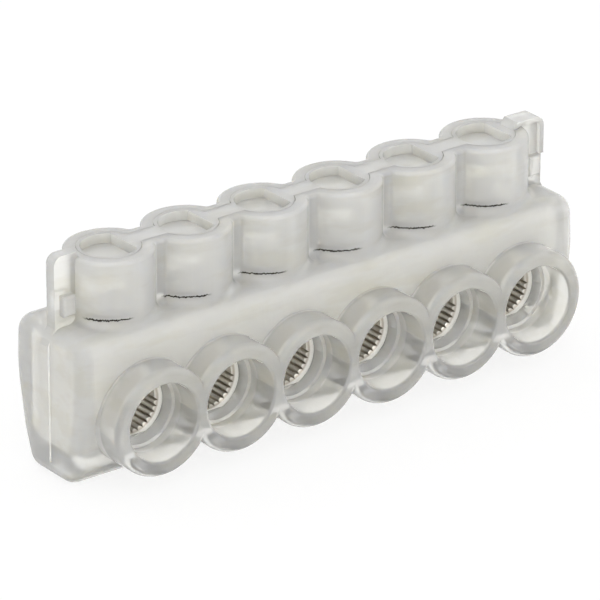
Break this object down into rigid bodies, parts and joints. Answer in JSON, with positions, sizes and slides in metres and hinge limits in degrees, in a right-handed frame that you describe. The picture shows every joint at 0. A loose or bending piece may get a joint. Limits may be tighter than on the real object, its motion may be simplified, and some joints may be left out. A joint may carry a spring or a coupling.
{
  "type": "terminal block",
  "caption": "Insulated multi-tap wire connector: a bar with wire bores and set screws in a soft clear shell with front collars, screw tubes and a lift-off cap strip.",
  "frame": {"origin": "middle of the flat underside that the connector stands on, below the middle of the bar", "axes": "+X along the row of ports, wires enter from -Y, screws are turned from +Z, up"},
  "size_m": [0.127, 0.0306, 0.0479],
  "materials": {
    "clear_vinyl": "smooth, milky clear soft vinyl",
    "plated_bar": "dull tin-plated aluminium",
    "cap_vinyl": "smooth, milky clear soft vinyl",
    "set_screws": "dull tin-plated aluminium"
  },
  "bodies": {
    "block": {"insulator": "clear_vinyl", "connector_bar": "plated_bar"},
    "caps": {"cap_strip": "cap_vinyl"},
    "screw_1": {"set_screw_1": "set_screws"},
    "screw_2": {"set_screw_2": "set_screws"},
    "screw_3": {"set_screw_3": "set_screws"},
    "screw_4": {"set_screw_4": "set_screws"},
    "screw_5": {"set_screw_5": "set_screws"},
    "screw_6": {"set_screw_6": "set_screws"}
  },
  "joints": [
    {"name": "screw_1_travel", "type": "slide", "parent": "block", "child": "screw_1", "axis": [0, 0, 1], "range_m": [-0.0072, 0.003]},
    {"name": "screw_2_travel", "type": "slide", "parent": "block", "child": "screw_2", "axis": [0, 0, 1], "range_m": [-0.0072, 0.003]},
    {"name": "screw_3_travel", "type": "slide", "parent": "block", "child": "screw_3", "axis": [0, 0, 1], "range_m": [-0.0072, 0.003]},
    {"name": "screw_4_travel", "type": "slide", "parent": "block", "child": "screw_4", "axis": [0, 0, 1], "range_m": [-0.0072, 0.003]},
    {"name": "screw_5_travel", "type": "slide", "parent": "block", "child": "screw_5", "axis": [0, 0, 1], "range_m": [-0.0072, 0.003]},
    {"name": "screw_6_travel", "type": "slide", "parent": "block", "child": "screw_6", "axis": [0, 0, 1], "range_m": [-0.0072, 0.003]},
    {"name": "cap_strip_lift", "type": "slide", "parent": "block", "child": "caps", "axis": [0, 0, 1], "range_m": [0, 0.02]}
  ]
}
